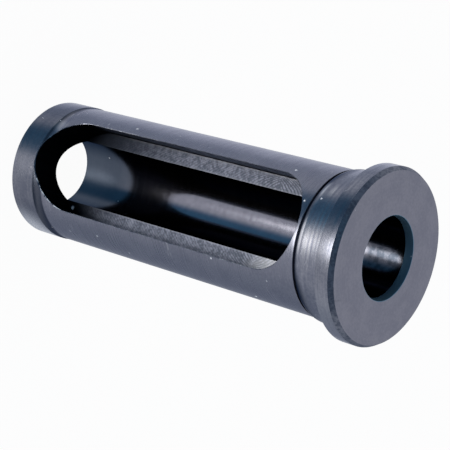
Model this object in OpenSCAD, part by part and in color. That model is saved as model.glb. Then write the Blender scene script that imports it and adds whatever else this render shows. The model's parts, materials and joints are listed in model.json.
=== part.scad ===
// Tool holder bushing: one turned and milled piece of steel.
// A straight shank with a flared head, bored through from end to end.
// A long window is milled into one side, down to a flat floor that opens the bore,
// so that clamping screws reach the tool held inside.
// The rear face lies on z = 0, the head is up, and the window faces -Y.

/* [Shank] */
// Diameter of the rear land, which fits the holder's bore
shank_d = 38.1; // [34:0.1:44]
// Length from the rear face to the underside of the collar
shank_len = 101.4; // [85:0.1:130]
// How far the long middle of the shank is turned down, on the radius
relief_depth = 0.2; // [0.1:0.05:0.4]
// Length of the full-size land at the rear end
rear_land_len = 9.3; // [6:0.1:14]
// Chamfer round the rear end
rear_chamfer = 1; // [0.3:0.1:1.5]
// Width of the shallow round groove in front of the rear land
rear_groove_w = 2.6; // [1.6:0.1:3.6]
// Depth of that groove below the relieved shank
rear_groove_depth = 0.2; // [0.1:0.05:0.4]
// Width of the square groove under the collar
collar_groove_w = 0.8; // [0.4:0.1:1.2]
// Depth of that groove below the relieved shank
collar_groove_depth = 0.8; // [0.4:0.1:1.2]

/* [Head] */
// Length from the underside of the collar to the front face
head_len = 13.6; // [12.8:0.1:20]
// How far the head stands out past the rear land, on the radius
head_overhang = 3.35; // [2.8:0.05:4.2]
// How far the collar stands out past the rear land, on the radius
collar_step = 0.45; // [0.3:0.05:0.8]
// Length from the underside of the collar to the foot of the flare
collar_len = 6.8; // [5:0.05:7]
// Length of the rounded nose at the underside of the collar
collar_nose_len = 2; // [1:0.1:3]
// How much that nose is rounded off, on the radius
collar_nose_depth = 0.55; // [0.3:0.05:0.7]
// Slope of the flare, from the bushing's axis
flare_angle = 58; // [54:1:65]
// Radius of the fillet at the foot of the flare
flare_foot_r = 0.8; // [0.2:0.1:1.2]
// Radius of the round where the flare meets the rim
flare_shoulder_r = 0.3; // [0.2:0.1:1.2]
// Length of the chamfer round the front face, along the axis
rim_chamfer_len = 1.25; // [0.5:0.05:2]
// Depth of that chamfer, on the radius
rim_chamfer_depth = 0.75; // [0.3:0.05:1.5]

/* [Bore] */
// Diameter of the bore, which takes the tool's shank
bore_d = 20.6; // [16:0.1:24]
// Length of the tapered lead at the mouth of the bore
bore_lead_len = 2.2; // [0.5:0.1:3]
// How much the lead opens the bore at the front face, on the radius
bore_lead_depth = 0.3; // [0.1:0.05:0.8]
// Small chamfer at the rear end of the bore
bore_exit_chamfer = 0.3; // [0.1:0.1:0.8]

/* [Window] */
// Width of the window, which is the diameter of the cutter that mills it
window_w = 24.8; // [22:0.1:27]
// Height of the window's flat floor above the bore's axis
window_floor = 5.65; // [4:0.05:7]
// Full wall left between the rear face and the window
rear_wall = 8.9; // [6:0.1:16]
// Full wall left between the window and the underside of the collar
front_wall = 1.6; // [1.4:0.1:10]

/* [Hidden] */
$fn = 96;

// How far a cutting tool runs past the surface that it cuts
overrun = 1;
// Steps along each rounded stretch of the turned outline
arc_steps = 10;

shank_r = shank_d / 2;
relief_r = shank_r - relief_depth;
head_r = shank_r + head_overhang;
collar_r = shank_r + collar_step;
bore_r = bore_d / 2;
overall_len = shank_len + head_len;
window_top = shank_len - front_wall;

// Where the flare's straight side would meet the collar and the rim
flare_foot_z = shank_len + collar_len;
flare_shoulder_z = flare_foot_z + (head_r - collar_r) / tan(flare_angle);
// Length that each rounding takes off the straight sides that it joins
foot_tangent = flare_foot_r * tan(flare_angle / 2);
shoulder_tangent = flare_shoulder_r * tan(flare_angle / 2);

// The collar's nose is one arc, tangent to the collar: its radius follows from its length and depth
nose_arc_r = (pow(collar_nose_len, 2) + pow(collar_nose_depth, 2)) / (2 * collar_nose_depth);
nose_angle = acos(1 - collar_nose_depth / nose_arc_r);

// The round groove is one arc: its radius follows from its width and depth on the relieved shank
groove_arc_r = (pow(rear_groove_w / 2, 2) + pow(rear_groove_depth, 2)) / (2 * rear_groove_depth);
groove_arc_x = relief_r - rear_groove_depth + groove_arc_r;
// Half angle of the arc where it leaves the land, and where it leaves the relieved shank
groove_land_angle = acos((groove_arc_x - shank_r) / groove_arc_r);
groove_relief_angle = acos((groove_arc_x - relief_r) / groove_arc_r);
groove_arc_z = rear_land_len + groove_arc_r * sin(groove_land_angle);

// Points on an arc about a centre [radius, height], from one angle to another
function arc(centre, r, from, to) = [
    for (i = [0 : arc_steps])
        let (a = from + (to - from) * i / arc_steps)
            [centre[0] + r * cos(a), centre[1] + r * sin(a)]
];

// The turned outline, from the axis at the rear face round to the axis at the front face
function turned_outline() = concat(
    [[0, 0], [shank_r - rear_chamfer, 0], [shank_r, rear_chamfer]],
    arc([groove_arc_x, groove_arc_z], groove_arc_r, 180 + groove_land_angle, 180 - groove_relief_angle),
    [[relief_r, shank_len - collar_groove_w],
     [relief_r - collar_groove_depth, shank_len - collar_groove_w],
     [relief_r - collar_groove_depth, shank_len]],
    arc([collar_r - nose_arc_r, shank_len + collar_nose_len], nose_arc_r, -nose_angle, 0),
    arc([collar_r + flare_foot_r, flare_foot_z - foot_tangent], flare_foot_r, 180, 180 - flare_angle),
    arc([head_r - flare_shoulder_r, flare_shoulder_z + shoulder_tangent], flare_shoulder_r, -flare_angle, 0),
    [[head_r, overall_len - rim_chamfer_len],
     [head_r - rim_chamfer_depth, overall_len],
     [0, overall_len]]
);

module turned_blank() {
    rotate_extrude()
        polygon(turned_outline());
}

// The through bore, with its tapered lead at the head and a small chamfer at the rear
module bore_cut() {
    translate([0, 0, -overrun])
        cylinder(r = bore_r, h = overall_len + 2 * overrun);
    lead_slope = bore_lead_depth / bore_lead_len;
    translate([0, 0, overall_len - bore_lead_len])
        cylinder(r1 = bore_r, r2 = bore_r + bore_lead_depth + overrun * lead_slope, h = bore_lead_len + overrun);
    translate([0, 0, -overrun])
        cylinder(r1 = bore_r + bore_exit_chamfer + overrun, r2 = bore_r, h = bore_exit_chamfer + overrun);
}

// One end of the milled window: the round that the cutter leaves, down to the floor
module cutter_at(z) {
    translate([0, -window_floor, z])
        rotate([90, 0, 0])
            cylinder(d = window_w, h = head_r + overrun);
}

// The milled window: the cutter's two end rounds and the straight run between them
module window_cut() {
    low = rear_wall + window_w / 2;
    high = window_top - window_w / 2;
    depth = head_r + overrun;
    cutter_at(low);
    cutter_at(high);
    translate([-window_w / 2, -window_floor - depth, low])
        cube([window_w, depth, high - low]);
}

module bushing() {
    color([0.33, 0.35, 0.40])
        difference() {
            turned_blank();
            bore_cut();
            window_cut();
        }
}

bushing();
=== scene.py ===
# %% [markdown]
# # A black oxide tool holder bushing
# The real part is turned from one bar of steel, bored through, and then milled open along one side.
# Last it is blackened in a hot salt bath, which leaves a thin blue-black film with a satin shine.
# The imported part is the fixed frame. Its size and place are settled, so nothing here moves it.

# %% Load the frame
import json
import math

import bmesh
import bpy
import numpy as np
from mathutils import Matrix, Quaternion, Vector


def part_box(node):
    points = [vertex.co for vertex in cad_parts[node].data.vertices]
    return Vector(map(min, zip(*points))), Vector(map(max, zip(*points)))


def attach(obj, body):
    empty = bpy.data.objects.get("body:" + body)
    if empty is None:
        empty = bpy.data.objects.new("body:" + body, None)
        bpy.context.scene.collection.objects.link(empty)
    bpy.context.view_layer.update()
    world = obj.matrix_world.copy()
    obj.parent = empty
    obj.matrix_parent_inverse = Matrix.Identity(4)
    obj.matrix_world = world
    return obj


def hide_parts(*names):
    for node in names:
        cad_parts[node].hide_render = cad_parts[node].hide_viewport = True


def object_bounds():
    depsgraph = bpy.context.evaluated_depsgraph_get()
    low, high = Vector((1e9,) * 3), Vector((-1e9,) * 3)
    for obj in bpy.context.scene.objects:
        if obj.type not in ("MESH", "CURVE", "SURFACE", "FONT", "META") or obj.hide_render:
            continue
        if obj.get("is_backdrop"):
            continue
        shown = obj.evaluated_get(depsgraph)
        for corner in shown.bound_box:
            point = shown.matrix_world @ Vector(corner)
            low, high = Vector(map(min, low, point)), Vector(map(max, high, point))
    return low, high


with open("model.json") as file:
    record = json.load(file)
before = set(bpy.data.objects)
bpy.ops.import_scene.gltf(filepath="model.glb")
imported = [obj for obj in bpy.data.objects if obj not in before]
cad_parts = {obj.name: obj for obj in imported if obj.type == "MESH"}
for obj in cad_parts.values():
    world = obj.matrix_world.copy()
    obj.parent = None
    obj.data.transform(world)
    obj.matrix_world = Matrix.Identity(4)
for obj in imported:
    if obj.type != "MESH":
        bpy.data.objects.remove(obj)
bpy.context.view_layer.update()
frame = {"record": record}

# %% [markdown]
# The driving sizes come first. The overall length, the head, the bore and the shank are read from the frame
# and from the mounts in its record, so they can't drift from the solid. The other sizes are the maker's:
# they say how each cut is placed, and they are written in millimetres, as on a shop drawing.

# %% Sizes of the bushing
MM = 0.001
mounts = {mount["name"]: mount["dims"] for mount in frame["record"]["mounts"]}
part_low, part_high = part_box("bushing")

overall_len = part_high.z
head_r = part_high.x
shank_r = mounts["shank"]["r_mm"] * MM
bore_r = mounts["tool_bore"]["r_mm"] * MM

relief_r = shank_r - 0.2 * MM
rear_chamfer = 1.0 * MM
land_len = 9.3 * MM
groove_w = 2.6 * MM
groove_depth = 0.2 * MM

head_len = 13.6 * MM
collar_r = 19.5 * MM
collar_len = 6.8 * MM
nose_len = 2.0 * MM
nose_depth = 0.55 * MM
undercut_w = 0.8 * MM
undercut_depth = 0.8 * MM
flare_angle = math.radians(58)
flare_foot_fillet = 0.2 * MM
flare_top_fillet = 0.12 * MM
rim_chamfer_len = 1.25 * MM
rim_chamfer_depth = 0.75 * MM

lead_len = 2.2 * MM
lead_depth = 0.3 * MM
exit_chamfer = 0.3 * MM

window_r = 12.4 * MM
window_floor = 5.65 * MM
rear_wall = 8.9 * MM
front_wall = 1.6 * MM

shank_len = overall_len - head_len
low_centre = rear_wall + window_r
high_centre = shank_len - front_wall - window_r
floor_edge = math.sqrt(bore_r ** 2 - window_floor ** 2)
flare_foot = shank_len + collar_len
flare_top = flare_foot + (head_r - collar_r) / math.tan(flare_angle)
print("bushing is %.1f mm long, head %.1f mm across" % (overall_len / MM, 2 * head_r / MM))

# %% [markdown]
# A camera is settled by where it stands, what it looks at and how it is rolled. The photograph shows the
# bushing lying across the frame. The part stands on its rear face here, so the same view is a camera in front
# of the window, above it, and rolled by a little more than a quarter turn.

# %% Camera
view_target = Vector((1.69, 16.10, 51.37)) * MM
view_distance = 410.0 * MM
view_azimuth = math.radians(4.555)
view_elevation = math.radians(38.513)
view_roll = math.radians(105.830)
view_lens = 119.387


def direction(azimuth, elevation):
    """Unit vector. Azimuth 0 points to -Y and 90 degrees to +X. Elevation is the angle above the floor."""
    flat = math.cos(elevation)
    return Vector((math.sin(azimuth) * flat, -math.cos(azimuth) * flat, math.sin(elevation)))


def make_camera():
    """The camera stands back from its target along one direction, then rolls about its own line of sight."""
    back = direction(view_azimuth, view_elevation)
    data = bpy.data.cameras.new("camera")
    data.lens = view_lens
    camera = bpy.data.objects.new("camera", data)
    camera.location = view_target + back * view_distance
    camera.rotation_mode = "QUATERNION"
    roll = Quaternion((0, 0, 1), view_roll)
    camera.rotation_quaternion = (-back).to_track_quat("-Z", "Y") @ roll
    bpy.context.scene.collection.objects.link(camera)
    bpy.context.scene.camera = camera
    return camera


camera = make_camera()
print("camera at", tuple(round(v, 4) for v in camera.location))

# %% [markdown]
# A turned part is a profile spun about an axis. The profile is a chain of corners, each with a small radius:
# about a tenth of a millimetre, as a file leaves it, and more at the feet of the flare and the bore's lead.
# One function rounds them all. Real edges are never sharp, and it is that thin round that catches the light.

# %% Rounded outlines
EDGE_BREAK = 0.12 * MM
CORNER_STEPS = 6
GROOVE_POINTS = 12
NOSE_POINTS = 9
SAME_POINT = 1e-8


def rounded(corners):
    """Each inner corner [radius, height, rounding] becomes an arc that is tangent to both of its sides.

    The arc starts at the corner minus t times the way in, where t is the rounding times the tangent of half
    the turn. Its centre lies one rounding to the side of that start, and the start is turned about it in
    equal steps. Corners without rounding give the same point again, and such repeats are dropped."""
    corners = np.array(corners, float)
    points, rounding = corners[:, :2], corners[1:-1, 2]
    way = np.diff(points, axis=0)
    way /= np.linalg.norm(way, axis=1)[:, None]
    way_in, way_out = way[:-1], way[1:]
    cross = way_in[:, 0] * way_out[:, 1] - way_in[:, 1] * way_out[:, 0]
    turn = np.arctan2(cross, (way_in * way_out).sum(1))
    start = points[1:-1] - way_in * (rounding * np.tan(np.abs(turn) / 2))[:, None]
    side = np.stack([-way_in[:, 1], way_in[:, 0]], 1) * (np.sign(turn) * rounding)[:, None]
    angle = turn[:, None] * np.linspace(0, 1, CORNER_STEPS + 1)
    arm_r = -side[:, :1] * np.cos(angle) + side[:, 1:] * np.sin(angle)
    arm_z = -side[:, :1] * np.sin(angle) - side[:, 1:] * np.cos(angle)
    arcs = (start + side)[:, None] + np.stack([arm_r, arm_z], 2)
    chain = np.concatenate([points[:1], arcs.reshape(-1, 2), points[-1:]])
    step = np.linalg.norm(np.diff(chain, axis=0), axis=1)
    return chain[np.concatenate([[True], step > SAME_POINT])]


def groove_arc():
    """The round groove is one arc. Its radius is the sum of two squares, of half the width and of the depth,
    over twice the depth."""
    radius = ((groove_w / 2) ** 2 + groove_depth ** 2) / (2 * groove_depth)
    axis_r = relief_r - groove_depth + radius
    land_angle = math.acos((axis_r - shank_r) / radius)
    relief_angle = math.acos((axis_r - relief_r) / radius)
    angle = np.linspace(-land_angle, relief_angle, GROOVE_POINTS)
    middle = land_len + radius * math.sin(land_angle)
    return np.stack([axis_r - radius * np.cos(angle), middle + radius * np.sin(angle)], 1)


def nose_arc():
    """The collar's lower edge is one arc, tangent to the collar. Its radius is the length squared plus the
    depth squared, over twice the depth."""
    radius = (nose_len ** 2 + nose_depth ** 2) / (2 * nose_depth)
    angle = np.linspace(-math.acos(1 - nose_depth / radius), 0, NOSE_POINTS)
    top = shank_len + nose_len
    return np.stack([collar_r - radius * (1 - np.cos(angle)), top + radius * np.sin(angle)], 1)


def outer_outline():
    """From the rear face, up the shank, round the head and onto the front face."""
    edge = EDGE_BREAK
    groove = np.pad(groove_arc(), ((0, 0), (0, 1)))
    groove[[0, -1], 2] = edge
    nose = np.pad(nose_arc(), ((0, 0), (0, 1)))
    nose[0, 2] = edge
    rear = [
        [shank_r - rear_chamfer - 4 * edge, 0, 0],
        [shank_r - rear_chamfer, 0, edge],
        [shank_r, rear_chamfer, edge],
    ]
    undercut = [
        [relief_r, shank_len - undercut_w, edge],
        [relief_r - undercut_depth, shank_len - undercut_w, edge / 2],
        [relief_r - undercut_depth, shank_len, edge / 2],
    ]
    front = [
        [collar_r, flare_foot, flare_foot_fillet],
        [head_r, flare_top, flare_top_fillet],
        [head_r, overall_len - rim_chamfer_len, edge],
        [head_r - rim_chamfer_depth, overall_len, edge],
        [head_r - rim_chamfer_depth - 4 * edge, overall_len, 0],
    ]
    return rounded(np.concatenate([rear, groove, undercut, nose, front]))


outline = outer_outline()
print("outer outline has", len(outline), "points")

# %% [markdown]
# The window is milled with an end mill as wide as the slot, so its two ends are half rounds of the cutter's
# radius. Where the cutter leaves the turned surface it raises an edge, which is then knocked off by hand, so
# that narrow bevel is never even. Its width here is a sum of waves whose lengths share no common multiple,
# and it is roughest by the rear end, as on the real one.

# %% The window's edge
BEVEL = 0.17 * MM
BEVEL_WAVES = ((2.1, 0.3, 0.22), (3.7, 1.9, 0.20), (7.3, 4.4, 0.18), (13.1, 2.7, 0.14))
ROUGH_SPOT = (8.5 * MM, 14.0 * MM)
ROUGH_REACH = 7.0 * MM


def bevel_width(x, z):
    """Mean width times one plus waves along the window, wider and with more swing by the rough spot."""
    along = (z + 0.6 * x) / (10 * MM)
    swing = sum(size * np.sin(2 * np.pi * pace * along + phase) for pace, phase, size in BEVEL_WAVES)
    rough = np.exp(-(np.hypot(x - ROUGH_SPOT[0], z - ROUGH_SPOT[1]) / ROUGH_REACH) ** 2)
    return BEVEL * (1 + 0.6 * rough + swing * (0.7 + 1.1 * rough))


def shank_surface(z):
    """Radius of the turned shank at a height, between the rear chamfer and the groove under the collar."""
    rear = outline[:rear_points]
    return np.interp(z, rear[:, 1], rear[:, 0], right=relief_r)


def end_round(side):
    """The window's edge on the turned surface at one of its ends: angles about the axis, and heights.

    phi runs from -90 to 90 degrees across the window, and side is -1 at the rear end. Each point lies one
    bevel outside the cutter's circle, so x is that radius times the sine of phi and the height changes by its
    cosine. The angle about the axis is the arc sine of x over the turned radius at that height."""
    centre = low_centre if side < 0 else high_centre
    wide = window_r + bevel_width(window_r * np.sin(phi), centre + side * window_r * np.cos(phi))
    height = centre + side * wide * np.cos(phi)
    return np.arcsin(wide * np.sin(phi) / shank_surface(height)), height


ROUND_STEPS = 20
BORE_STEPS = 48
rear_points = np.searchsorted(outline[:, 1], groove_arc()[-1, 1] + EDGE_BREAK)
phi_floor = math.asin(floor_edge / window_r)
phi = np.concatenate([
    np.linspace(-np.pi / 2, -phi_floor, ROUND_STEPS + 1)[:-1],
    np.linspace(-phi_floor, phi_floor, BORE_STEPS + 1),
    np.linspace(phi_floor, np.pi / 2, ROUND_STEPS + 1)[1:],
])
low_angle, low_edge = end_round(-1)
high_angle, high_edge = end_round(1)
print("window edge spans z from %.2f to %.2f mm" % (low_edge.min() / MM, high_edge.max() / MM))

# %% [markdown]
# The bushing's skin is made of patches that share their border points: the turned outside, the bevel, the
# milled walls, the two floor strips, the two end faces and the bore. Each patch is one grid, worked out as
# whole arrays, and has one of eight finishes.

# %% Patches and what they are finished like
FINISHES = [
    "satin_shank", "turned_band", "rim_chamfer", "faced_end",
    "worn_edge", "milled_wall", "milled_floor", "bored_wall",
]
patches = []


def add_patch(grid, finish):
    """Keeps one grid of points, rows by columns by three, and the finish of its faces."""
    patches.append((np.asarray(grid), FINISHES.index(finish)))


def between(start, stop, count):
    """Rows from one row of points or values to another, evenly spaced, with both of them."""
    share = np.linspace(0, 1, count + 1).reshape((-1,) + (1,) * start.ndim)
    return start + (stop - start) * share


def turned_points(radius, angle, height):
    """A point of the turned skin: the radius swung about the axis, where angle 0 faces -Y."""
    radius, angle, height = np.broadcast_arrays(radius, angle, height)
    return np.stack([radius * np.sin(angle), -radius * np.cos(angle), height], -1)


# %% [markdown]
# The turned outside is the outline swung round the axis. Most of it is one grid, which goes round the back
# from one side of the window to the other. Two more lie across the window, at its rear end and at its front
# end. A column that meets the window stops there, so its last points fall together, and merging them
# afterwards leaves a clean edge.

# %% The turned outside
BACK_STEPS = 144
EDGE_ROW = 0.6 * MM
SIDE_ROWS = 84
MERGE = 0.002 * MM


def shank_rows(low, high):
    """Rows of the relieved shank between two heights, both left out, about one edge row apart."""
    heights = np.linspace(low, high, int((high - low) / EDGE_ROW) + 2)[1:-1]
    return np.column_stack([np.full(len(heights), relief_r), heights])


def window_side(side, heights):
    """Angle of the window's straight edge about the axis, at each height: one bevel outside the cutter."""
    wide = window_r + bevel_width(side * window_r, heights)
    return side * np.arcsin(wide / relief_r)


rear_end = np.array([[relief_r, low_centre]])
front_end = np.array([[relief_r, high_centre]])
rear_outline = outline[:rear_points]
front_outline = outline[rear_points:]
rear_rows = np.concatenate([rear_outline, shank_rows(rear_outline[-1, 1], low_centre), rear_end])
front_rows = np.concatenate([front_end, shank_rows(high_centre, front_outline[0, 1]), front_outline])
side_heights = np.linspace(low_centre, high_centre, SIDE_ROWS)
side_rows = np.column_stack([np.full(SIDE_ROWS, relief_r), side_heights])[1:-1]

rows = np.concatenate([rear_rows, side_rows, front_rows])
right_side = window_side(1, side_heights)
left_side = window_side(-1, side_heights)


def edge_angles(rear, side, front):
    """The window edge's angle at every row: constant beyond its two straight ends."""
    return np.concatenate([np.full(len(rear_rows), rear), side[1:-1], np.full(len(front_rows), front)])


right_edge = edge_angles(low_angle[-1], right_side, high_angle[-1])
left_edge = edge_angles(low_angle[0], left_side, high_angle[0])

# Round the back, from the window's right edge to its left edge
round_the_back = np.linspace(0, 1, BACK_STEPS + 1)
back_angle = right_edge[:, None] + round_the_back * (2 * np.pi + left_edge - right_edge)[:, None]
back_grid = turned_points(rows[:, :1], back_angle, rows[:, 1:])

# Across the window, where a column stops at the edge
rear_height = np.minimum(rear_rows[:, 1:], low_edge)
rear_radius = np.where(rear_height < rear_rows[:, 1:], shank_surface(rear_height), rear_rows[:, :1])
rear_grid = turned_points(rear_radius, low_angle, rear_height)
front_height = np.maximum(front_rows[:, 1:], high_edge)
front_radius = np.where(front_height > front_rows[:, 1:], relief_r, front_rows[:, :1])
front_grid = turned_points(front_radius, high_angle, front_height)


def add_turned(grid, profile):
    """Cuts a turned grid at the land, the collar, the rim's chamfer and the face, by their heights."""
    limits = (-1, land_len + EDGE_BREAK / 2, shank_len, overall_len - rim_chamfer_len, overall_len - MERGE, 1)
    rows = np.clip(np.searchsorted(profile[:, 1], limits), 0, len(profile) - 1)
    bands = ("turned_band", "satin_shank", "turned_band", "rim_chamfer", "faced_end")
    for start, stop, finish in zip(rows[:-1], rows[1:], bands):
        if stop > start:
            add_patch(grid[start:stop + 1], finish)


add_turned(back_grid, rows)
add_turned(rear_grid, rear_rows)
add_turned(front_grid, front_rows)
print("turned outside has", len(rows), "rows and", BACK_STEPS + len(phi), "columns")

# %% [markdown]
# The window's walls stand straight up from the floor, parallel to the cutter's axis. They are ruled: every
# point of the edge has a straight line below it. That line ends on the flat floor or, in the middle of each
# end, on the bore, because the floor lies above the bore's axis and the cutter breaks into it.

# %% Bevel, walls and floor strips
WALL_ROWS = 8
FLOOR_COLUMNS = 10


def onto_cutter(points, centre):
    """Moves points of the window's edge onto the cutter's circle, or onto its side where centre is None."""
    x, z = points[:, 0], points[:, 2]
    if centre is None:
        return np.sign(x) * window_r, z
    arm = np.hypot(x, z - centre)
    return x * window_r / arm, centre + (z - centre) * window_r / arm


def wall_top(points, centre):
    """Top of the wall: on the cutter, and one bevel below the turned surface there."""
    x, z = onto_cutter(points, centre)
    width = np.hypot(points[:, 0] - x, points[:, 2] - z)
    y = -np.sqrt(shank_surface(z) ** 2 - x ** 2) + width
    return np.stack([x, y, z], 1)


def wall_foot(top):
    """Foot of the wall: the floor's plane, or the bore's circle where that reaches higher."""
    bore_top = np.sqrt(np.maximum(bore_r ** 2 - top[:, 0] ** 2, 0))
    foot = top.copy()
    foot[:, 1] = -np.maximum(window_floor, bore_top)
    return foot


edge_runs = [
    (rear_grid[-1], low_centre),
    (turned_points(relief_r, right_side, side_heights), None),
    (front_grid[0, ::-1], high_centre),
    (turned_points(relief_r, left_side, side_heights)[::-1], None),
]
feet = []
for edge_run, centre in edge_runs:
    top = wall_top(edge_run, centre)
    foot = wall_foot(top)
    add_patch(np.stack([edge_run, top]), "worn_edge")
    add_patch(between(top, foot, WALL_ROWS), "milled_wall")
    feet.append(foot)

low_foot, right_foot, high_foot, left_foot = feet
floor_runs = {}
for side, low, run, high in (
    (1, low_foot, right_foot, high_foot),
    (-1, low_foot[::-1], left_foot[::-1], high_foot[::-1]),
):
    outer = np.concatenate([low[-ROUND_STEPS - 1:-1], run, high[1:ROUND_STEPS + 1]])
    inner = outer.copy()
    inner[:, 0] = side * floor_edge
    add_patch(between(outer, inner, FLOOR_COLUMNS), "milled_floor")
    floor_runs[side] = outer
print("window floor strips are %.2f mm wide" % ((window_r - floor_edge) / MM))

# %% [markdown]
# The bore runs through the middle, with a short lead at the head, where the tool goes in. Inside the window
# its front half is cut away down to the floor, so its columns come in two kinds: those under the window stop
# at the end walls, and the others run the whole way. The two end faces are rings between skin and bore.

# %% Bore and end faces
FACE_ROWS = 5
BORE_ROWS = 9
bore_edge_angle = math.asin(floor_edge / bore_r)
under_window = slice(ROUND_STEPS, ROUND_STEPS + BORE_STEPS + 1)


def bore_outline():
    """From the front face, down the lead, along the bore and out through the small rear chamfer."""
    edge = EDGE_BREAK
    return rounded([
        [bore_r + lead_depth + 4 * edge, overall_len, 0],
        [bore_r + lead_depth, overall_len, edge],
        [bore_r, overall_len - lead_len, 6 * edge],
        [bore_r, exit_chamfer, edge],
        [bore_r + exit_chamfer, 0, edge],
        [bore_r + exit_chamfer + 4 * edge, 0, 0],
    ])


def bore_angles(foot):
    """Angles about the axis of the end wall's feet that stand on the bore."""
    return np.arcsin(np.clip(foot[under_window, 0] / bore_r, -1, 1))


def bore_end(rows, foot):
    """Radii and heights of the bore's rows from an end face up to the feet that stand on the bore."""
    edge = foot[under_window, 2]
    run = between(np.full(len(edge), rows[-1, 1]), edge, BORE_ROWS)[1:]
    height = np.concatenate([np.repeat(rows[:, 1:], len(edge), 1), run])
    return np.concatenate([rows[:, :1], np.full((BORE_ROWS, 1), bore_r)]), height


bore_rows = bore_outline()
half_way = np.argmax(bore_rows[:, 1] < overall_len / 2)
high_bore = high_foot[::-1]
mouth_radius, mouth_height = bore_end(bore_rows[:half_way], high_bore)
exit_radius, exit_height = (values[::-1] for values in bore_end(bore_rows[half_way:][::-1], low_foot))
mouth_grid = turned_points(mouth_radius, bore_angles(high_bore), mouth_height)
exit_grid = turned_points(exit_radius, bore_angles(low_foot), exit_height)

back_count = BACK_STEPS + 2 * ROUND_STEPS
bore_back = bore_edge_angle + np.linspace(0, 1, back_count + 1) * 2 * (np.pi - bore_edge_angle)
floor_heights = floor_runs[1][::-1, 2]
bore_height = np.concatenate([mouth_height[:-1, -1], floor_heights, exit_height[1:, -1]])
bore_radius = np.concatenate([mouth_radius[:-1, 0], np.full(len(floor_heights), bore_r), exit_radius[1:, 0]])
bore_back_grid = turned_points(bore_radius[:, None], bore_back, bore_height[:, None])

# The outermost ring of each grid lies on an end face and has its finish
for grid, first, last in ((mouth_grid, 1, None), (exit_grid, 0, -1), (bore_back_grid, 1, -1)):
    add_patch(grid[first:last], "bored_wall")
for ring in (mouth_grid[:2], exit_grid[-2:], bore_back_grid[:2], bore_back_grid[-2:]):
    add_patch(ring, "faced_end")


def end_face(skin_window, skin_back, bore_window, bore_back_ring):
    """Ring between the skin and the bore. Both rims are listed from the same column, so they join up."""
    skin = np.roll(np.concatenate([skin_window, skin_back[1:-1]]), -ROUND_STEPS, axis=0)
    bore = np.concatenate([bore_window, bore_back_ring[1:-1]])
    skin, bore = (np.concatenate([rim, rim[:1]]) for rim in (skin, bore))
    add_patch(between(skin, bore, FACE_ROWS), "faced_end")


end_face(front_grid[-1], back_grid[-1], mouth_grid[0], bore_back_grid[0])
end_face(rear_grid[0], back_grid[0], exit_grid[-1], bore_back_grid[-1])

# %% [markdown]
# Now the patches become one mesh. Points that lie together are merged, which closes the borders, and the
# faces are turned outwards. Had two patches been out of step, an edge would stay open there, so the cell
# counts the open edges. Shading is smooth, except where two faces meet at more than 18 degrees.

# %% One closed mesh from all patches
SHARP_ANGLE = math.radians(18)


def grid_faces(grid, first):
    """Corner numbers of a grid's faces: each point with its neighbours to the right, across and below."""
    count = grid.shape[0] * grid.shape[1]
    number = first + np.arange(count).reshape(grid.shape[:2])
    corners = (number[:-1, :-1], number[:-1, 1:], number[1:, 1:], number[1:, :-1])
    return np.stack(corners, -1).reshape(-1, 4)


def build_bushing():
    """Puts all patches into one mesh, merges their shared borders and turns every face outwards."""
    points, faces, finishes, first = [], [], [], 0
    for grid, finish in patches:
        quads = grid_faces(grid, first)
        points.append(grid.reshape(-1, 3))
        faces.append(quads)
        finishes.append(np.full(len(quads), finish, np.int32))
        first += grid.shape[0] * grid.shape[1]
    mesh = bpy.data.meshes.new("bushing_body")
    mesh.from_pydata(np.concatenate(points), [], np.concatenate(faces))
    mesh.polygons.foreach_set("material_index", np.concatenate(finishes))
    work = bmesh.new()
    work.from_mesh(mesh)
    bmesh.ops.remove_doubles(work, verts=work.verts, dist=MERGE)
    bmesh.ops.recalc_face_normals(work, faces=work.faces)
    open_edges = sum(not edge.is_manifold for edge in work.edges)
    volume = work.calc_volume(signed=True)
    work.to_mesh(mesh)
    work.free()
    mesh.shade_smooth()
    mesh.set_sharp_from_angle(angle=SHARP_ANGLE)
    bushing = bpy.data.objects.new("bushing_body", mesh)
    bpy.context.scene.collection.objects.link(bushing)
    print("bushing has", len(mesh.polygons), "faces,", open_edges, "open edges, mm3:", volume / MM ** 3)
    return bushing


bushing = build_bushing()
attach(bushing, "root")
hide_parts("bushing")

# %% [markdown]
# All the finishes are built from a few small steps, so the steps get short names first. What a step is given
# is the output of another node or a plain value, and it takes both in the same place. Every output knows the
# node tree that it stands in, so a new node finds its tree by the first output it is given.

# %% Helpers for shader nodes
def feed(value, socket):
    """Links another node's output to an input, or sets the input to a plain value."""
    if isinstance(value, bpy.types.NodeSocket):
        socket.id_data.links.new(value, socket)
    else:
        socket.default_value = value


def add_node(kind, values, **settings):
    """A new node with its settings, fed with the values in their order. One of them at least is an output."""
    tree = next(value.id_data for value in values if isinstance(value, bpy.types.NodeSocket))
    node = tree.nodes.new(kind)
    for name, setting in settings.items():
        setattr(node, name, setting)
    for value, socket in zip(values, node.inputs):
        feed(value, socket)
    return node


def maths(operation, *values):
    """One Math node: its operation on the values given, in their order."""
    return add_node("ShaderNodeMath", values, operation=operation).outputs[0]


def times(first, second):
    """The product of two values."""
    return maths("MULTIPLY", first, second)


def squares(*values):
    """The square of each value."""
    return [maths("POWER", value, 2.0) for value in values]


def stretch(place, factors):
    """The place times three factors. A small factor draws a pattern out along that direction."""
    return add_node("ShaderNodeVectorMath", (place, factors), operation="MULTIPLY").outputs[0]


def noise(place, size, detail=2.0):
    """Soft noise from 0 to 1 whose blobs are about one size across, in metres."""
    node = add_node("ShaderNodeTexNoise", (place,))
    feed(detail, node.inputs["Detail"])
    scale = maths("DIVIDE", 1.0, size) if isinstance(size, bpy.types.NodeSocket) else 1 / size
    feed(scale, node.inputs["Scale"])
    return node.outputs["Fac"]


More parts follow.
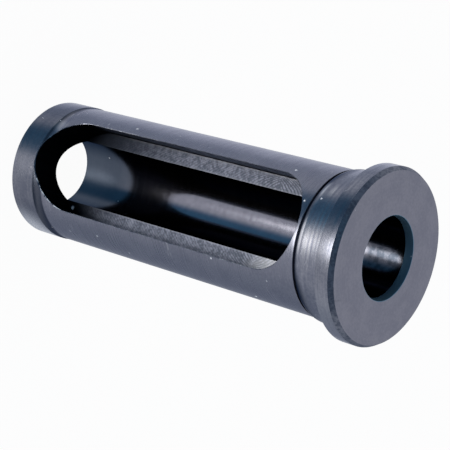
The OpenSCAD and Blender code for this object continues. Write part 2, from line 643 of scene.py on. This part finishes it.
def ramp(value, start, stop, low=0.0, high=1.0):
    """A smooth step: low below the start, high above the stop, and an S curve between them."""
    values = (value, start, stop, low, high)
    return add_node("ShaderNodeMapRange", values, interpolation_type="SMOOTHSTEP").outputs[0]


def mixed(share, first, second):
    """The first colour where the share is 0 and the second where it is 1."""
    node = add_node("ShaderNodeMix", (share,), data_type="RGBA")
    colours = [socket for socket in node.inputs if socket.type == "RGBA"]
    feed(first, colours[0])
    feed(second, colours[1])
    return [socket for socket in node.outputs if socket.type == "RGBA"][0]


def split(place, axes="XYZ"):
    """The values of a place along the axes named."""
    outputs = add_node("ShaderNodeSeparateXYZ", (place,)).outputs
    return [outputs[axis] for axis in axes]


def joined(*values):
    """A place made of three values."""
    return add_node("ShaderNodeCombineXYZ", values).outputs[0]


def camera_ray(tree):
    """1 for a ray that comes straight from the camera, and 0 for every other."""
    return tree.nodes.new("ShaderNodeLightPath").outputs["Is Camera Ray"]


# %% [markdown]
# An effect that several finishes share is a node group: it is built once, with named inputs and outputs, and
# each material sets its own values. A group hands out colours and masks only. The shader stays outside.

# %% Starting and placing a group
def start_group(name, inputs, outputs):
    """An empty group with its sockets: the place, inputs with their first values, and outputs."""
    group = bpy.data.node_groups.new(name, "ShaderNodeTree")
    group.interface.new_socket("Place", in_out="INPUT", socket_type="NodeSocketVector")
    for socket_name, first in inputs.items():
        kind = "NodeSocketColor" if isinstance(first, tuple) else "NodeSocketFloat"
        group.interface.new_socket(socket_name, in_out="INPUT", socket_type=kind).default_value = first
    for socket_name in outputs:
        kind = "NodeSocketColor" if socket_name == "Color" else "NodeSocketFloat"
        group.interface.new_socket(socket_name, in_out="OUTPUT", socket_type=kind)
    return group, group.nodes.new("NodeGroupInput").outputs, group.nodes.new("NodeGroupOutput").inputs


def use(group, **values):
    """Places a group in the tree that its place comes from, and feeds its inputs by their names."""
    node = values["Place"].id_data.nodes.new("ShaderNodeGroup")
    node.node_tree = group
    for name, value in values.items():
        feed(value, node.inputs[name])
    return node.outputs


# %% [markdown]
# Black oxide is a film about a micrometre thick. It is never one flat colour: where the salt bath worked
# longer it is bluer and darker, and it is rubbed a little greyer where the part has been handled. Two soft
# noises of different size give that, one some millimetres across and one finer than a millimetre.

# %% Oxide film
def oxide_film():
    """Colour between thin and thick by the mean of a broad and a fine noise, and the mask itself."""
    group, given, out = start_group(
        "oxide_film",
        {"Thick": (0.1, 0.1, 0.1, 1), "Thin": (0.2, 0.2, 0.2, 1), "Blotch": 0.006, "Grain": 0.0006},
        ("Color", "Mask"),
    )
    broad = noise(given["Place"], given["Blotch"], 3.0)
    fine = noise(given["Place"], given["Grain"])
    mask = ramp(maths("MULTIPLY_ADD", fine, 0.5, times(broad, 0.5)), 0.36, 0.64)
    feed(mixed(mask, given["Thick"], given["Thin"]), out["Color"])
    feed(mask, out["Mask"])
    return group


OXIDE = oxide_film()

# %% [markdown]
# A lathe tool leaves a fine screw thread of lines round the part. Cloth then draws some of them out into
# brighter and duller streaks. A noise that is squeezed across the lines and long along them looks like both.
# The group takes a place whose z runs across the lines, so the same lines serve the outside, the bore and,
# with the distance from the axis as its z, the end faces.

# %% Turned lines
def turned_lines():
    """Height of fine lines and a mask of broad streaks: noises of the place times (slow, slow, 1)."""
    sizes = {"Line": 0.00016, "Streak": 0.0006}
    group, given, out = start_group("turned_lines", sizes, ("Height", "Streaks"))
    lines = noise(stretch(given["Place"], (0.012, 0.012, 1)), given["Line"], 1.0)
    streaks = noise(stretch(given["Place"], (0.03, 0.03, 1)), given["Streak"], 3.0)
    feed(maths("MULTIPLY_ADD", streaks, 1.6, lines), out["Height"])
    feed(ramp(streaks, 0.34, 0.66), out["Streaks"])
    return group


LINES = turned_lines()

# %% [markdown]
# Use leaves small pale marks: grains of dust, nicks down to bare steel, and hair scratches. Dust and nicks
# are the middles of Voronoi cells, and only some of the cells get one. A scratch is the narrow band in which
# a long drawn-out noise crosses its mean, broken up by a second noise.

# %% Specks and scratches
def small_marks():
    """Mask of specks, near a cell's middle in some cells, and mask of scratches along the turned lines."""
    sizes = {"Cell": 0.004, "Speck": 0.08, "Share": 0.4}
    group, given, out = start_group("small_marks", sizes, ("Specks", "Scratches"))
    cells = add_node("ShaderNodeTexVoronoi", (given["Place"],))
    feed(maths("DIVIDE", 1.0, given["Cell"]), cells.inputs["Scale"])
    chance = split(cells.outputs["Color"])
    size = times(given["Speck"], maths("MULTIPLY_ADD", chance[1], 1.2, 0.4))
    near = ramp(cells.outputs["Distance"], size, times(size, 0.5))
    chosen = maths("LESS_THAN", chance[0], given["Share"])
    feed(times(near, chosen), out["Specks"])
    hair = noise(stretch(given["Place"], (0.16, 0.16, 1)), 0.0018, 1.0)
    off_mean = maths("ABSOLUTE", maths("SUBTRACT", hair, 0.5))
    broken = ramp(noise(given["Place"], 0.007), 0.56, 0.64)
    feed(times(ramp(off_mean, 0.012, 0.003), broken), out["Scratches"])
    return group


MARKS = small_marks()

# %% [markdown]
# The floor beside the bore carries the arcs of the cutter's end teeth. Each tooth draws a circle while the
# cutter travels, so the marks ahead of its axis bend one way and those behind it the other. For a point at
# distance x from the middle and height z, the two arcs are those with the same z minus, and z plus, the root
# of the radius squared less x squared. The teeth come round evenly, so each set is a wave, and a noise moves
# it a little, as the machine does. Behind the place where the cutter turned back, its trailing teeth wiped
# out most of the first set, and beyond that place little of the second is left.

# %% End mill arcs
def mill_arcs():
    """Height and grooves of two sets of arcs: sines of z minus or plus the root, over the pitch, with a
    wobble. The first grooves grow from 0.15 to 1 where z passes the turn, and the second fade by as much."""
    sizes = {"Radius": 0.0128, "Pitch": 0.0011, "Turn": 0.082}
    group, given, out = start_group("mill_arcs", sizes, ("Height", "Grooves"))
    x, z = split(given["Place"], "XZ")
    root = maths("SQRT", maths("SUBTRACT", *squares(given["Radius"], x)))
    wobble = times(noise(given["Place"], 0.0028), 5.0)
    turns = maths("DIVIDE", 2 * math.pi, given["Pitch"])
    first = ramp(maths("SUBTRACT", z, given["Turn"]), -0.003, 0.001, 0.15, 1.0)
    second = maths("SUBTRACT", 1.15, first)
    waves, grooves = [], []
    for operation, strength in (("SUBTRACT", first), ("ADD", second)):
        wave = maths("SINE", maths("MULTIPLY_ADD", maths(operation, z, root), turns, wobble))
        waves.append(wave)
        grooves.append(times(ramp(wave, 0.3, -0.9), strength))
    feed(maths("MULTIPLY_ADD", maths("ADD", *waves), 0.25, 0.5), out["Height"])
    feed(maths("MAXIMUM", *grooves), out["Grooves"])
    return group


ARCS = mill_arcs()

# %% [markdown]
# Every finish is steel under oxide, so each material starts the same way: a metallic Principled shader whose
# edge tint is dark, because the film swallows the bright rim that bare steel shows at a flat angle. What
# differs is the film, the tool marks and how much of it is rubbed off, and each finish adds its own.

# %% Starting a metal
BARE_STEEL = (0.52, 0.53, 0.55, 1)
DUST = (0.85, 0.86, 0.88, 1)
EDGE_TINT = (0.62, 0.63, 0.68, 1)
# Thick film, and also the colour of painted shade at the collar's foot, the rear groove and in the head's bore
THICK_FILM_AND_SHADE = (0.030, 0.038, 0.052, 1)
# Near black, used only for painted shade: on the window's walls and floor strips, and on the far bevel
SHADE_BLACK = (0.011, 0.014, 0.021, 1)
# Half the width of the change from one finish to the next
FADE = 0.1 * MM


def start_metal(name, thick, thin, **grain):
    """A metallic material under an oxide film: its shader's inputs, the place on the part, and the film."""
    material = bpy.data.materials.new(name)
    material.use_nodes = True
    tree = material.node_tree
    shader = tree.nodes["Principled BSDF"].inputs
    feed(1.0, shader["Metallic"])
    feed(EDGE_TINT, shader["Specular Tint"])
    place = tree.nodes.new("ShaderNodeTexCoord").outputs["Object"]
    bushing.data.materials.append(material)
    return shader, place, use(OXIDE, Place=place, Thick=(*thick, 1), Thin=(*thin, 1), **grain)


def surface(shader, roughness, height, depth, strength=1.0):
    """Feeds the roughness and the bump, whose height of 0 to 1 stands for the depth in metres."""
    node = height.id_data.nodes.new("ShaderNodeBump")
    for name, value in (("Strength", strength), ("Distance", depth), ("Height", height)):
        feed(value, node.inputs[name])
    feed(node.outputs["Normal"], shader["Normal"])
    feed(roughness, shader["Roughness"])


def dusty(shader, specks, colour):
    """Feeds the colour, with pale dust on the specks. Dust is no metal, so it shows in the dark too."""
    feed(mixed(specks, colour, DUST), shader["Base Color"])
    feed(maths("SUBTRACT", 1.0, specks), shader["Metallic"])


def near_spot(place, spot, reach):
    """1 at a spot, and falling to 0 at the reach from it."""
    away = add_node("ShaderNodeVectorMath", (place, tuple(spot)), operation="DISTANCE")
    return ramp(away.outputs["Value"], reach, reach / 4)


# %% [markdown]
# The long middle of the shank is the quietest surface: a close film with fine lines, a few hair scratches and
# some grains of dust. The rear land and the head were finished with a sharper tool and handled more, so their
# lines are coarser, and streaks in them are rubbed paler, most of all at a handled spot on the collar. A second
# spot on the collar is a painted highlight, and so is a pale spot by the rear groove. The land is paler on its
# +X side, scuff dust and a painted sheen, and the rim's +X side is painted paler too. Painted shade darkens
# the rear groove and the collar's foot, most towards the sides, and the rim by the highlight, and the land's
# film is a little darker all round.

# %% Satin shank and turned bands
HANDLED_SPOT = turned_points(collar_r, math.radians(-33), overall_len - 11.8 * MM)
# A painted highlight on the collar, where the lamp's highlight falls
COLLAR_HIGHLIGHT_SPOT = turned_points(collar_r, math.radians(5), shank_len + 4.6 * MM)
# A painted highlight by the rear groove
GROOVE_HIGHLIGHT_SPOT = turned_points(relief_r, math.radians(-32), land_len + 1.7 * MM)
# The land's +X side is paler: scuff dust, and a painted sheen
LAND_SCUFF_AND_SHEEN = turned_points(shank_r, math.radians(85), 2.0 * MM)


def band_mask(z, start, stop, below, above):
    """1 between two heights, rising over a length below the start and falling over one above the stop."""
    return times(ramp(z, start - below, start), ramp(z, maths("ADD", stop, above), stop))


def on_land(z, strength):
    """The strength on the rear land, and 0 in front of it."""
    return ramp(z, land_len + FADE, land_len - FADE, 0.0, strength)


def on_rim(z, strength):
    """The strength on the rim, growing from 0 at the foot of the flare."""
    return ramp(z, flare_foot, flare_foot + 1.8 * MM, 0.0, strength)


def painted_shade_and_film_mask(x, z):
    """Painted shade at the collar's foot, in the rear groove and on the rim, and a darker film on the land."""
    # All but the land's darker film is painted shade: wider and darker towards the sides, and on the rim by the
    # highlight
    reach = ramp(x, -6 * MM, 10 * MM, land_len + 0.2 * MM, land_len + 2.6 * MM)
    rear = band_mask(z, land_len - FADE, reach, 0.3 * MM, 1.2 * MM)
    aside = maths("ABSOLUTE", x)
    above = ramp(aside, 9 * MM, 16 * MM, 0.9 * MM, 3.2 * MM)
    foot = band_mask(z, shank_len - 0.3 * MM, shank_len + 0.3 * MM, FADE, above)
    foot = times(foot, ramp(aside, 8 * MM, 15 * MM, 0.45, 0.90))
    ends = maths("ADD", on_rim(z, ramp(aside, 8 * MM, 15 * MM, 0.20, 0.0)), on_land(z, 0.26))
    return maths("MAXIMUM", ends, maths("MULTIPLY_ADD", rear, 0.72, foot))


def turned_finish(name, thick, thin, roughness, depth, rub_and_highlight, specks):
    """Film, turned lines and marks. Streaks lighten the film by the rub, and scratches show paler metal.

    The roughness is a pair, off the streaks and on them. Painted shade is mixed in as thick film, with a darker
    edge tint. A painted highlight by the groove and the rim's painted paler side turn to bare steel by a share,
    and the specks and the land's pale side, scuff dust and painted sheen, turn to dust."""
    shader, place, film = start_metal(name, thick, thin)
    x, z = split(place, "XZ")
    lines = use(LINES, Place=place)
    marks = use(MARKS, Place=place, Share=specks)
    rub_and_highlight = maths("MULTIPLY_ADD", near_spot(place, HANDLED_SPOT, 3.2 * MM), 0.95, rub_and_highlight)
    # This spot is a painted highlight: the streaks are lightened more where the lamp's highlight falls
    rub_and_highlight = maths("MULTIPLY_ADD", near_spot(place, COLLAR_HIGHLIGHT_SPOT, 8 * MM), 0.45, rub_and_highlight)
    rubbed = mixed(times(lines["Streaks"], rub_and_highlight), film["Color"], BARE_STEEL)
    scratched = mixed(times(marks["Scratches"], 0.35), rubbed, BARE_STEEL)
    # Painted shade in the groove, at the collar's foot and on the rim, mixed in as thick film, and a darker
    # film on the land
    shade_and_film = painted_shade_and_film_mask(x, z)
    feed(mixed(shade_and_film, EDGE_TINT, (0.30, 0.32, 0.38, 1)), shader["Specular Tint"])
    shaded_film = mixed(shade_and_film, scratched, THICK_FILM_AND_SHADE)
    # Painted highlight by the rear groove, and the rim's +X side painted paler
    painted_highlight = times(near_spot(place, GROOVE_HIGHLIGHT_SPOT, 2.8 * MM), 0.35)
    bare = maths("MAXIMUM", painted_highlight, on_rim(z, ramp(x, 12 * MM, 17 * MM, 0.0, 0.18)))
    # Pale dust on the land's +X side: partly scuffs, partly a painted sheen
    scuff_and_sheen = times(near_spot(place, LAND_SCUFF_AND_SHEEN, 14 * MM), on_land(z, 0.60))
    pale = maths("MAXIMUM", marks["Specks"], scuff_and_sheen)
    dusty(shader, pale, mixed(bare, shaded_film, BARE_STEEL))
    matt = maths("MULTIPLY_ADD", marks["Specks"], 0.45, ramp(lines["Streaks"], 0.0, 1.0, *roughness))
    surface(shader, matt, lines["Height"], depth)


turned_finish("satin_shank", (0.172, 0.181, 0.224), (0.206, 0.215, 0.258), (0.30, 0.25), 0.4e-6, 0.02, 0.60)
turned_finish("turned_band", (0.148, 0.160, 0.204), (0.210, 0.220, 0.261), (0.27, 0.20), 5.0e-6, 0.12, 0.35)


# %% [markdown]
# The chamfer round the front face takes every knock. Its film is dark and patchy, with bare nicks.
# A finish of its own also lets it be mottled without touching the turned bands beside it.

# %% Mottled rim chamfer
def chamfer_finish():
    """A dark film whose fine blotches also set the roughness and the bump, with dense bare nicks on top."""
    shader, place, film = start_metal(
        "rim_chamfer", (0.080, 0.094, 0.126), (0.185, 0.198, 0.232), Blotch=0.0035, Grain=0.0007)
    marks = use(MARKS, Place=place, Cell=0.0022, Speck=0.12, Share=0.10)
    feed(mixed(marks["Specks"], film["Color"], BARE_STEEL), shader["Base Color"])
    surface(shader, ramp(film["Mask"], 0.0, 1.0, 0.42, 0.32), film["Mask"], 12e-6, 0.5)


chamfer_finish()


# %% [markdown]
# The end faces were faced on the lathe, from the rim inwards, so their lines are rings about the axis. The
# lines group gets the distance from the axis as its third value for that.

# %% Faced ends
def faced_finish():
    """Rings about the axis: the place for the lines is x, y and the root of x squared plus y squared."""
    shader, place, film = start_metal("faced_end", (0.200, 0.206, 0.246), (0.234, 0.238, 0.276))
    x, y = split(place, "XY")
    distance = maths("SQRT", maths("ADD", *squares(x, y)))
    lines = use(LINES, Place=joined(x, y, distance))
    marks = use(MARKS, Place=place, Share=0.28)
    dusty(shader, marks["Specks"], film["Color"])
    surface(shader, ramp(lines["Streaks"], 0.0, 1.0, 0.42, 0.36), lines["Height"], 0.8e-6)


faced_finish()


# %% [markdown]
# Along the window a file has cut through the film, so the narrow bevel is bare here and blue-black there.
# The rough spot by the rear end, where the bevel swings most, also shows the most bare steel, and dust sticks
# in its nicks. Further to the front, the bevel on the -X side is painted near black: painted shade that hides
# its glint.

# %% Worn edge of the window
def edge_finish():
    """Bare steel where a noise along the edge is high, and more of it close to the rough spot.

    Closeness goes by the squared distance from that spot, in reaches. It also sets the share of dust."""
    shader, place, film = start_metal("worn_edge", (0.08, 0.09, 0.12), (0.16, 0.17, 0.20))
    x, z = split(place, "XZ")
    away_x = maths("DIVIDE", maths("SUBTRACT", x, ROUGH_SPOT[0]), ROUGH_REACH)
    away_z = maths("DIVIDE", maths("SUBTRACT", z, ROUGH_SPOT[1]), ROUGH_REACH)
    away = maths("ADD", *squares(away_x, away_z))
    near = ramp(away, 1.5, 0.0, 0.0, 0.24)
    worn = ramp(maths("ADD", noise(place, 0.0016, 3.0), near), 0.62, 0.72)
    chipped = times(worn, ramp(away, 1.5, 0.4, 0.0, 0.65))
    # Painted shade: towards the front, the bevel on the -X side turns near black
    far_side = ramp(x, 8 * MM, -8 * MM, 0.0, 0.85)
    shaded = times(far_side, ramp(z, 34 * MM, 50 * MM))
    dusty(shader, chipped, mixed(shaded, mixed(worn, film["Color"], BARE_STEEL), SHADE_BLACK))
    surface(shader, ramp(worn, 0.0, 1.0, 0.38, 0.26), noise(place, 0.0005), 20e-6, 0.6)


edge_finish()


# %% [markdown]
# The cutter's sides leave lines up and down the window's walls, along its own axis. The oxide lies thick
# there, as nothing rubs it, and the walls look nearly black. The window was cut in two passes. Below the step
# between them, deep in the window, and at the rear end, the wall is painted near black with painted shade.

# %% Milled walls
SECOND_CUT = 9.0 * MM


def wall_finish():
    """Lines along Y, from y, y and z plus x. Painted shade, near black, lies below the second cut and at the
    rear, over the film.
    """
    shader, place, film = start_metal(
        "milled_wall", (0.050, 0.060, 0.082), (0.125, 0.141, 0.178), Blotch=0.003)
    x, y, z = split(place)
    lines = use(LINES, Place=joined(y, y, maths("ADD", x, z)), Line=0.0003, Streak=0.0012)
    # Painted shade: near black deep in the window, below the second cut, and at the rear end, with a darker
    # edge tint
    below = ramp(y, -SECOND_CUT, -SECOND_CUT + 1.0 * MM)
    rear = ramp(z, low_centre + 4 * MM, low_centre - 4 * MM)
    dark = maths("MAXIMUM", below, rear)
    feed(mixed(dark, film["Color"], SHADE_BLACK), shader["Base Color"])
    feed(mixed(dark, (0.45, 0.48, 0.55, 1), (0.03, 0.03, 0.04, 1)), shader["Specular Tint"])
    surface(shader, ramp(lines["Streaks"], 0.0, 1.0, 0.46, 0.36), lines["Height"], 5e-6)


wall_finish()


# %% [markdown]
# The two floor strips are the roughest surface. Arcs of the end teeth cross on them, and a fine grain of
# chips and film lies over them. Towards the head the arcs are clearer and the metal is rubbed paler, and so
# it is in a thin line along each border. Towards the rear end wall, painted shade darkens the strips nearly to
# black, and one chip there is painted as a white spot for its glint.

# %% Milled floor
# A chip at the floor's rear end, painted as a white spot that stands for its glint
CHIP_GLINT_SPOT = (10.4 * MM, -window_floor, 15.4 * MM)
BORDER_OUT = 1.45 * MM


def floor_finish():
    """Film with fine grain, dark in the arcs' grooves, rubbed pale at the front, and painted shade at the rear.

    The front begins at a height of z plus a part of x, so the strip on the +X side turns pale sooner. The
    painted shade's reach falls with x, so it goes further on the strip on the -X side."""
    shader, place, film = start_metal(
        "milled_floor", (0.050, 0.058, 0.082), (0.162, 0.173, 0.220), Blotch=0.0013, Grain=0.0006)
    x, z = split(place, "XZ")
    arcs = use(ARCS, Place=place, Pitch=0.00115)
    clear = ramp(z, high_centre - 18 * MM, high_centre - 6 * MM, 0.40, 0.90)
    grooved = mixed(times(arcs["Grooves"], clear), film["Color"], THICK_FILM_AND_SHADE)
    slanted = maths("MULTIPLY_ADD", x, 0.9, z)
    front = ramp(slanted, high_centre - 1 * MM, high_centre + 8 * MM, 0.04, 0.40)
    rubbed = mixed(front, grooved, BARE_STEEL)
    off_middle = maths("SUBTRACT", maths("ABSOLUTE", x), (window_r + floor_edge) / 2)
    border = ramp(maths("ABSOLUTE", off_middle), BORDER_OUT, BORDER_OUT + 0.3 * MM, 0.0, 0.12)
    rimmed = mixed(border, rubbed, BARE_STEEL)
    # Painted shade by the rear end wall, and the chip's painted glint
    reach = ramp(x, -floor_edge, floor_edge, 60 * MM, 38 * MM)
    rear = ramp(z, reach, 18 * MM, 0.0, 0.97)
    dusty(shader, near_spot(place, CHIP_GLINT_SPOT, 0.9 * MM), mixed(rear, rimmed, SHADE_BLACK))
    height = maths("MULTIPLY_ADD", noise(place, 0.0008, 3.0), 0.8, arcs["Height"])
    surface(shader, ramp(arcs["Grooves"], 0.0, 1.0, 0.36, 0.46), height, 14e-6)


floor_finish()


# %% [markdown]
# The bore is reamed and slides on tools, so it is the smoothest surface. It mirrors what lies outside the
# window and its two ends. To every ray but the camera's it is painted near black, as painted shade, so the
# parts that mirror the inside stay black. In the head it is darkened and mottled, painted shade where no light
# from the window reaches. Towards the rear end the reamer cut less cleanly, and the lead at the mouth is only
# turned, so both are duller, with a bluer film.

# %% Bored wall
def bore_finish():
    """A film with fine rings: painted shade, mottled, in the head; duller and bluer at the rear and in the
    lead.

    Only the camera sees the film's own colour, and every other ray meets a near black painted shade."""
    shader, place, film = start_metal(
        "bored_wall", (0.209, 0.212, 0.252), (0.236, 0.239, 0.280), Grain=0.0015)
    z = split(place, "Z")[0]
    lead_foot = overall_len - lead_len
    lead = ramp(z, lead_foot - FADE, lead_foot + FADE)
    rear = ramp(z, 32 * MM, 12 * MM)
    in_head = ramp(z, shank_len - 2 * MM, shank_len + 2 * MM)
    # Painted shade, mottled, in the head's part of the bore, where no light from the window reaches
    head_shade = ramp(noise(place, 0.0014, 3.0), 0.38, 0.62, 0.96, 0.76)
    colour = mixed(times(head_shade, in_head), film["Color"], THICK_FILM_AND_SHADE)
    colour = mixed(times(rear, 0.8), colour, (0.038, 0.060, 0.085, 1))
    colour = mixed(lead, colour, (0.13, 0.25, 0.34, 1))
    # Painted shade: to every ray but the camera's, the bore is near black
    seen = camera_ray(place.id_data)
    shade_for_other_rays = (0.010, 0.011, 0.015, 1)
    marks = use(MARKS, Place=place, Speck=0.06, Share=0.3)
    dusty(shader, times(marks["Specks"], 0.6), mixed(seen, shade_for_other_rays, colour))
    feed(mixed(seen, shade_for_other_rays, (0.30, 0.31, 0.35, 1)), shader["Specular Tint"])
    lines = use(LINES, Place=place, Line=0.0002, Streak=0.0004)
    matt = ramp(lines["Streaks"], 0.0, 1.0, 0.14, 0.11)
    matt = maths("ADD", ramp(z, 20 * MM, 9 * MM, 0.0, 0.13), matt)
    surface(shader, maths("MULTIPLY_ADD", lead, 0.40, matt), lines["Height"], 0.2e-6)


bore_finish()
names = [material.name for material in bushing.data.materials]
print("finishes:", ", ".join(names), "in the order of the patches:", names == FINISHES)

# %% [markdown]
# A metal shows little but its surroundings, so the world is drawn as carefully as the part. The photograph
# was taken in a light tent: soft grey-white all round, with a blue-dark slot on one side, greyer and brighter
# patches on the others, the dark opening for the camera with dim flanks beside it, and two lamps. The
# stronger lamp draws the long highlight. Each of these is a soft round lobe about a direction. The camera
# itself sees plain white behind the part.

# %% World
TENT = (0.80, 0.81, 0.87)
LOBES = [
    # Azimuth, elevation, outer and inner angle, and colour. First come three lobes for the slot
    (-34, -66, 26, 10, (0.15, 0.28, 0.40)),
    (-35, -40, 27, 11, (0.08, 0.22, 0.36)),
    (-40, -12, 30, 14, (0.07, 0.17, 0.28)),
    # The camera's opening and its flanks
    (0, 34, 62, 30, (0.06, 0.15, 0.25)),
    (62, 12, 40, 16, (0.16, 0.22, 0.32)),
    (-72, 10, 34, 14, (0.20, 0.26, 0.36)),
    # Two greyer patches and a brighter one
    (128, -30, 50, 18, (0.52, 0.56, 0.64)),
    (-108, -52, 24, 8, (0.60, 0.66, 0.78)),
    (-139, -40, 24, 4, (1.30, 1.32, 1.42)),
    # The two lamps
    (10, -72, 18, 8, (3.2, 3.1, 3.0)),
    (12, -19.5, 18, 8, (10.2, 9.8, 9.3)),
]


def build_world():
    """The tent's colour, mixed with each lobe in turn by the cosine of the angle from the lobe's middle."""
    world = bpy.data.worlds.new("light_tent")
    world.use_nodes = True
    bpy.context.scene.world = world
    tree = world.node_tree
    way = tree.nodes.new("ShaderNodeTexCoord").outputs["Generated"]
    colour = (*TENT, 1)
    for azimuth, elevation, outer, inner, lobe in LOBES:
        middle = direction(math.radians(azimuth), math.radians(elevation))
        cosine = add_node("ShaderNodeVectorMath", (way, middle), operation="DOT_PRODUCT").outputs["Value"]
        limits = math.cos(math.radians(outer)), math.cos(math.radians(inner))
        colour = mixed(ramp(cosine, *limits), colour, (*lobe, 1))
    surroundings = tree.nodes["Background"]
    feed(colour, surroundings.inputs["Color"])
    white = tree.nodes.new("ShaderNodeBackground")
    feed((1, 1, 1, 1), white.inputs["Color"])
    blend = add_node("ShaderNodeMixShader", (camera_ray(tree), surroundings.outputs[0], white.outputs[0]))
    feed(blend.outputs[0], tree.nodes["World Output"].inputs["Surface"])


build_world()
print("world has", len(LOBES), "lobes")

# %% [markdown]
# The floor is a plain pale sheet under the rear face. For the camera it glows almost white by itself, so that
# it looks like the photograph's background, and the rest of its colour still takes the part's shadow. It is
# left out of reflections, where the world's lobes already stand for the table.

# %% Floor
FLOOR_HALF = 1.5
FLOOR_GLOW = 0.96


def build_floor():
    """A level square at height 0. Its shader mixes white glow over paint, but only for the camera's rays."""
    corners = np.array([(-1, -1, 0), (1, -1, 0), (1, 1, 0), (-1, 1, 0)]) * FLOOR_HALF
    mesh = bpy.data.meshes.new("floor")
    mesh.from_pydata(corners, [], [(0, 1, 2, 3)])
    floor = bpy.data.objects.new("floor", mesh)
    bpy.context.scene.collection.objects.link(floor)
    floor.visible_glossy = False
    floor.visible_shadow = False
    material = bpy.data.materials.new("pale_floor")
    material.use_nodes = True
    tree = material.node_tree
    tree.nodes.clear()
    paint = tree.nodes.new("ShaderNodeBsdfDiffuse")
    feed((0.9, 0.9, 0.9, 1), paint.inputs["Color"])
    glow = tree.nodes.new("ShaderNodeEmission")
    share = times(camera_ray(tree), FLOOR_GLOW)
    blend = add_node("ShaderNodeMixShader", (share, paint.outputs[0], glow.outputs[0]))
    feed(blend.outputs[0], tree.nodes.new("ShaderNodeOutputMaterial").inputs["Surface"])
    mesh.materials.append(material)
    return floor


floor = build_floor()
floor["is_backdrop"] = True
print("floor is %.1f m wide" % (2 * FLOOR_HALF))

# %% Finish
bpy.context.scene.view_settings.view_transform = "Standard"
low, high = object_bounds()
print("finished box, low and high:", tuple(low), tuple(high))
